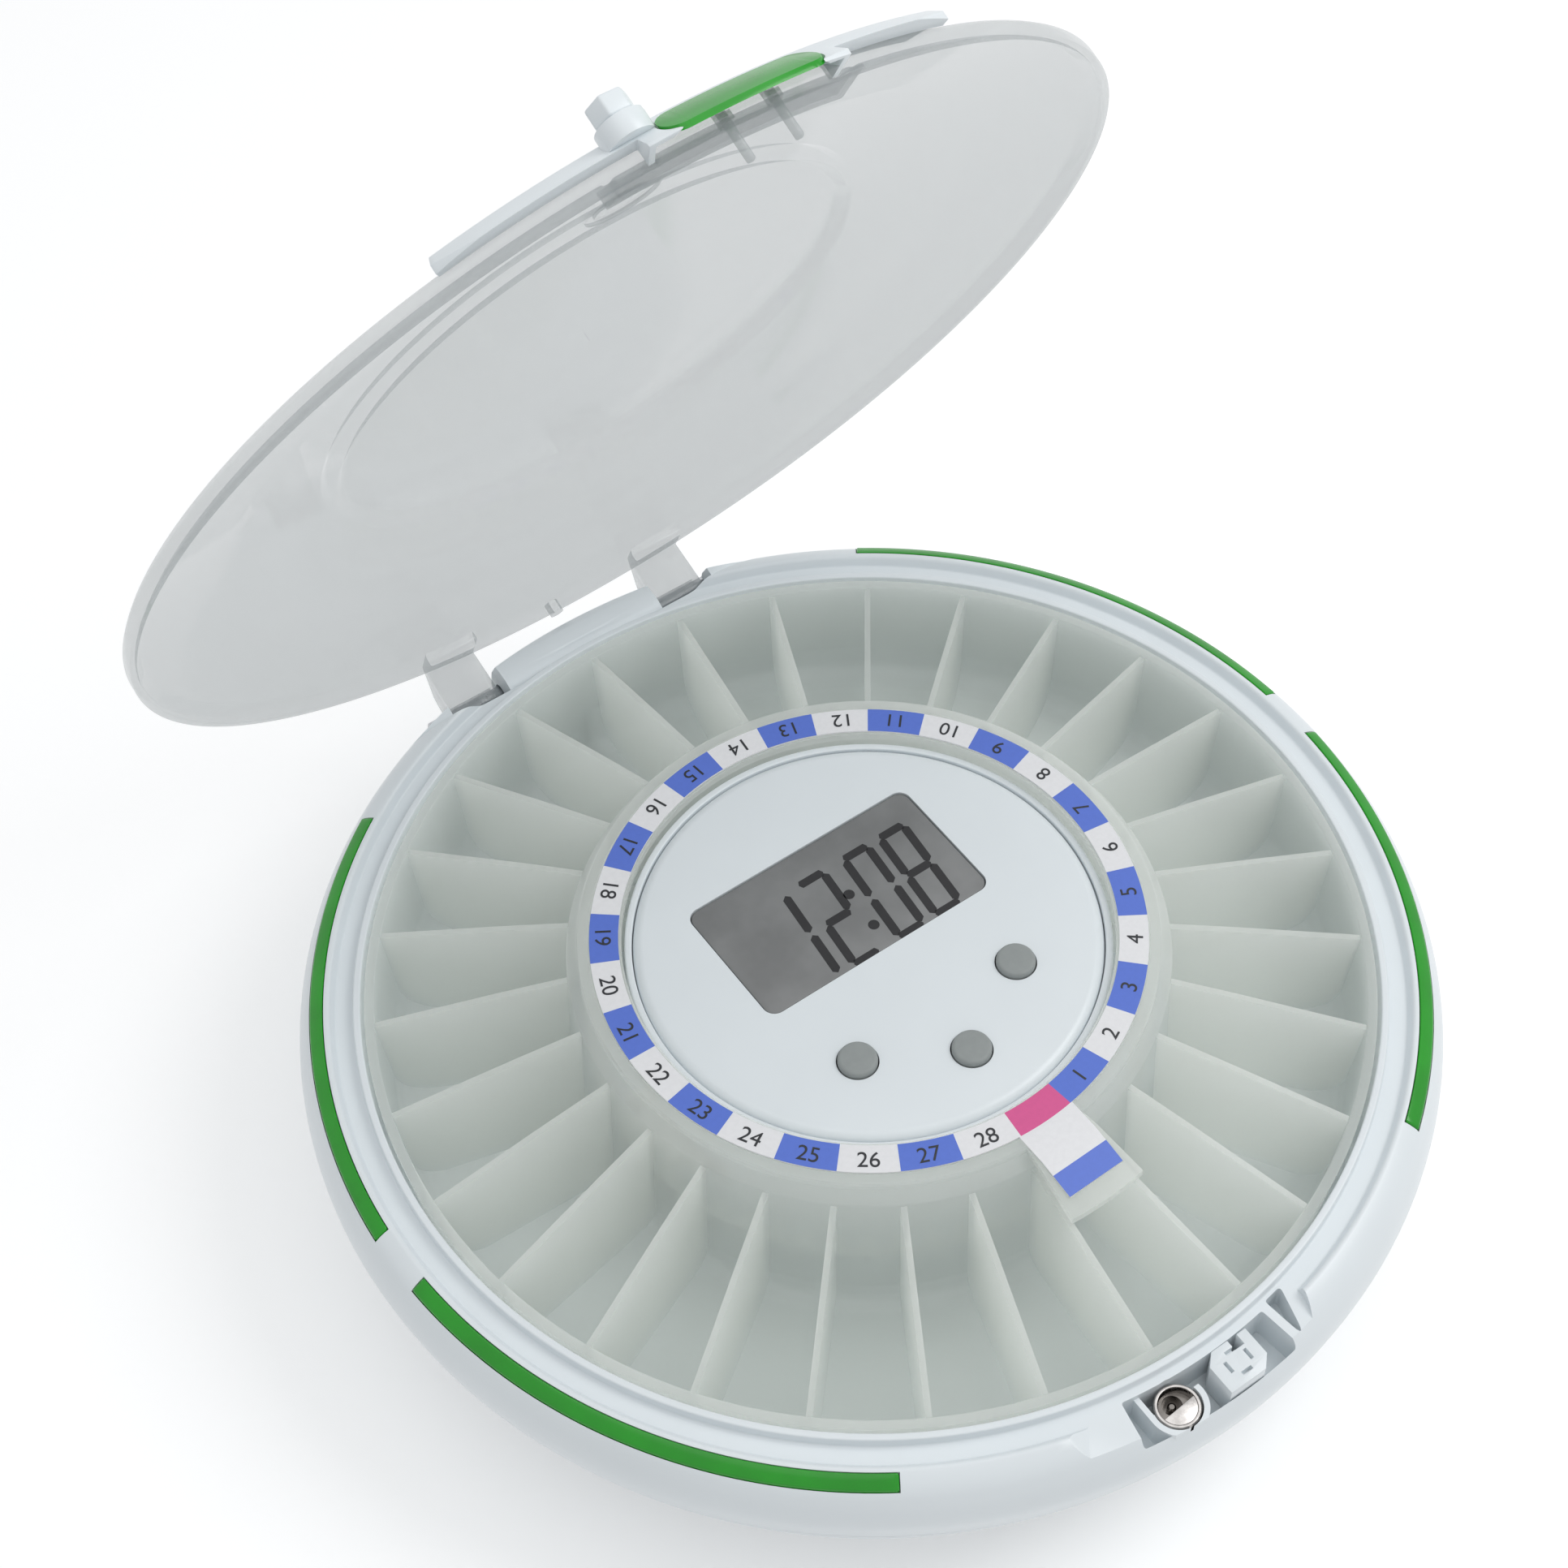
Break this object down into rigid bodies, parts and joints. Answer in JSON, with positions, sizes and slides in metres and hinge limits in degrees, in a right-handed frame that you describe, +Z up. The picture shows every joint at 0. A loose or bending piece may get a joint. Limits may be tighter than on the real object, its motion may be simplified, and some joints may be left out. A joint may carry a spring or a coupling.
{
  "type": "electronic pill box",
  "caption": "Round electronic pill dispenser with a motor-turned tray of pill compartments, a clear hinged locking lid, a display with buttons and light strips on the shoulder.",
  "frame": {"origin": "centre of the foot plane, on the axis of the tray", "axes": "+Z up along the tray axis, -Y to the front with the lock, +Y to the lid hinge, +X to the right seen from the front"},
  "size_m": [0.1904, 0.1937, 0.2027],
  "materials": {
    "shell": "smooth moulded",
    "tray": "natural translucent moulded plastic",
    "lid_clear": "clear moulded plastic",
    "label": "printed film",
    "green": "translucent moulded",
    "button": "moulded",
    "display": "flat window over a grey liquid crystal display",
    "gear": "moulded",
    "dark_plastic": "moulded",
    "board": "laminate",
    "steel": "plated",
    "lock_chrome": "polished",
    "cell": "plain sleeve",
    "foot_rubber": "matt"
  },
  "bodies": {
    "base": {"upper_housing": "shell", "lower_housing": "shell", "hub_panel": "shell", "display_window": "display", "display_module": "dark_plastic", "main_board": "board", "chassis_plate": "dark_plastic", "gearbox": "gear", "gear_motor": "steel", "contact_plate_rear": "steel", "contact_plate_front": "steel", "battery_door": "shell", "buzzer": "dark_plastic", "tray_switch": "dark_plastic", "catch_block": "shell", "tray_catch_lever": "shell", "hinge_pin_left": "steel", "hinge_pin_right": "steel", "light_strip_front_right": "green", "light_strip_rear_right": "green", "light_strip_rear_left": "green", "light_strip_front_left": "green", "light_board_front_right": "board", "light_board_rear_right": "board", "light_board_rear_left": "board", "light_board_front_left": "board", "battery_1": "cell", "foot_1": "foot_rubber", "housing_screw_1": "steel", "battery_2": "cell", "foot_2": "foot_rubber", "housing_screw_2": "steel", "battery_3": "cell", "foot_3": "foot_rubber", "housing_screw_3": "steel", "battery_4": "cell", "foot_4": "foot_rubber", "housing_screw_4": "steel"},
    "tray": {"medicine_tray": "tray", "label_ring": "label"},
    "pinion": {"drive_pinion": "gear"},
    "lock": {"lock_cylinder": "lock_chrome", "lock_clip": "steel"},
    "left_button": {"button_left": "button"},
    "middle_button": {"button_middle": "button"},
    "right_button": {"button_right": "button"},
    "cover": {"lid": "lid_clear", "lid_front_cap": "shell"},
    "press": {"press_button": "green"},
    "knob": {"key_knob": "shell"}
  },
  "joints": [
    {"name": "tray_spin", "type": "hinge", "parent": "base", "child": "tray", "pos_m": [0, 0, 0.03], "axis": [0, 0, 1], "continuous": true},
    {"name": "pinion_spin", "type": "hinge", "parent": "base", "child": "pinion", "pos_m": [-0.03432, 0, 0.0248], "axis": [0, 0, 1], "continuous": true},
    {"name": "lid_hinge", "type": "hinge", "parent": "base", "child": "cover", "pos_m": [0, 0.0893, 0.0325], "axis": [1, 0, 0], "range_deg": [-3, 66]},
    {"name": "press_slide", "type": "slide", "parent": "cover", "child": "press", "axis": [0, -0.9135, -0.4067], "range_m": [0, 0.0008], "stiffness_N_per_m": 800},
    {"name": "knob_turn", "type": "hinge", "parent": "cover", "child": "knob", "pos_m": [-0.015, 0.03248, 0.19822], "axis": [0, 0.9135, 0.4067], "range_deg": [0, 90]},
    {"name": "lock_turn", "type": "hinge", "parent": "base", "child": "lock", "pos_m": [-0.0091, -0.0889, 0.035], "axis": [0, 0, 1], "range_deg": [0, 90]},
    {"name": "button_left_press", "type": "slide", "parent": "base", "child": "left_button", "axis": [0, 0, -1], "range_m": [0, 0.0006], "stiffness_N_per_m": 800},
    {"name": "button_middle_press", "type": "slide", "parent": "base", "child": "middle_button", "axis": [0, 0, -1], "range_m": [0, 0.0006], "stiffness_N_per_m": 800},
    {"name": "button_right_press", "type": "slide", "parent": "base", "child": "right_button", "axis": [0, 0, -1], "range_m": [0, 0.0006], "stiffness_N_per_m": 800}
  ],
  "couplings": [
    {"joint": "pinion_spin", "follows": "tray_spin", "ratio": 4.1429}
  ]
}
